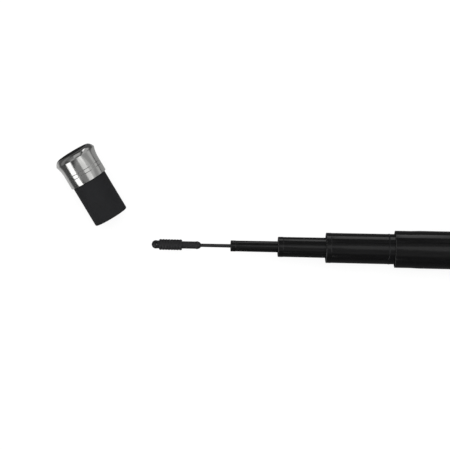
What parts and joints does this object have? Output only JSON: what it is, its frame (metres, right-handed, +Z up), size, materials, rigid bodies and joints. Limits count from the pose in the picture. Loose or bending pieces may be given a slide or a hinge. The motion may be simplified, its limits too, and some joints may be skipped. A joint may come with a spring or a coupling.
{
  "type": "telescopic fishing pole",
  "caption": "Telescopic pole with hollow sections sliding into a tapered butt, a ribbed line connector on its solid tip, a screw cap, and a push-in front plug with a polished metal head.",
  "frame": {"origin": "centre of the butt end's flat face, on the pole's axis", "axes": "+X along the pole's axis, from the tip towards the butt end; +Z up with the pole lying on a flat surface"},
  "size_m": [0.8939, 0.0687, 0.0246],
  "materials": {
    "lacquered_carbon": "gloss black lacquer over carbon and glass fibre",
    "grip_coating": "matt, fine non-slip pattern",
    "satin_aluminium": "satin, turned",
    "rubber": "matt moulded",
    "connector_plastic": "matt moulded",
    "polished_metal": "polished, finely turned",
    "black_inlay": "gloss",
    "zinc_steel": "zinc plated"
  },
  "bodies": {
    "butt": {"butt_tube": "lacquered_carbon", "grip_sleeve": "grip_coating", "grip_front_ring": "satin_aluminium", "grip_rear_ring": "satin_aluminium", "thread_insert": "satin_aluminium"},
    "section_2": {"section_2_tube": "lacquered_carbon", "section_2_mouth_wrap": "lacquered_carbon", "section_2_band": "satin_aluminium"},
    "section_3": {"section_3_tube": "lacquered_carbon", "section_3_mouth_wrap": "lacquered_carbon"},
    "section_4": {"section_4_tube": "lacquered_carbon", "section_4_mouth_wrap": "lacquered_carbon"},
    "tip": {"tip_blank": "lacquered_carbon", "connector_body": "connector_plastic"},
    "line_lock": {"connector_sleeve": "connector_plastic"},
    "front_plug": {"plug_head": "polished_metal", "plug_inlay": "black_inlay", "plug_rubber": "rubber", "plug_washer": "zinc_steel", "plug_screw": "zinc_steel"},
    "cap_seal": {"cap_o_ring": "rubber"},
    "screw_cap": {"butt_cap": "satin_aluminium", "butt_pad": "rubber", "cap_cushion": "rubber"}
  },
  "joints": [
    {"name": "section_2_slide", "type": "slide", "parent": "butt", "child": "section_2", "axis": [-1, 0, 0], "range_m": [-0.0831, 0.5184]},
    {"name": "section_3_slide", "type": "slide", "parent": "section_2", "child": "section_3", "axis": [-1, 0, 0], "range_m": [-0.036, 0.5268]},
    {"name": "section_4_slide", "type": "slide", "parent": "section_3", "child": "section_4", "axis": [-1, 0, 0], "range_m": [-0.036, 0.5232]},
    {"name": "tip_slide", "type": "slide", "parent": "section_4", "child": "tip", "axis": [-1, 0, 0], "range_m": [-0.0169, 0.5383]},
    {"name": "line_lock_slide", "type": "slide", "parent": "tip", "child": "line_lock", "axis": [1, 0, 0], "range_m": [0, 0.0078]},
    {"name": "front_plug_swing", "type": "hinge", "parent": "tip", "child": "front_plug", "pos_m": [-0.84128, 0.02082, 0], "axis": [0.1249, -0.0065, -0.9921], "range_deg": [-58.35, 0]},
    {"name": "cap_lift", "type": "slide", "parent": "butt", "child": "cap_seal", "axis": [1, 0, 0], "range_m": [0, 0.0241]},
    {"name": "cap_turn", "type": "hinge", "parent": "cap_seal", "child": "screw_cap", "pos_m": [0, 0, 0], "axis": [1, 0, 0], "range_deg": [0, 1440]}
  ],
  "couplings": [
    {"joint": "cap_lift", "follows": "cap_turn", "m_per_rad": 0.00095493}
  ]
}
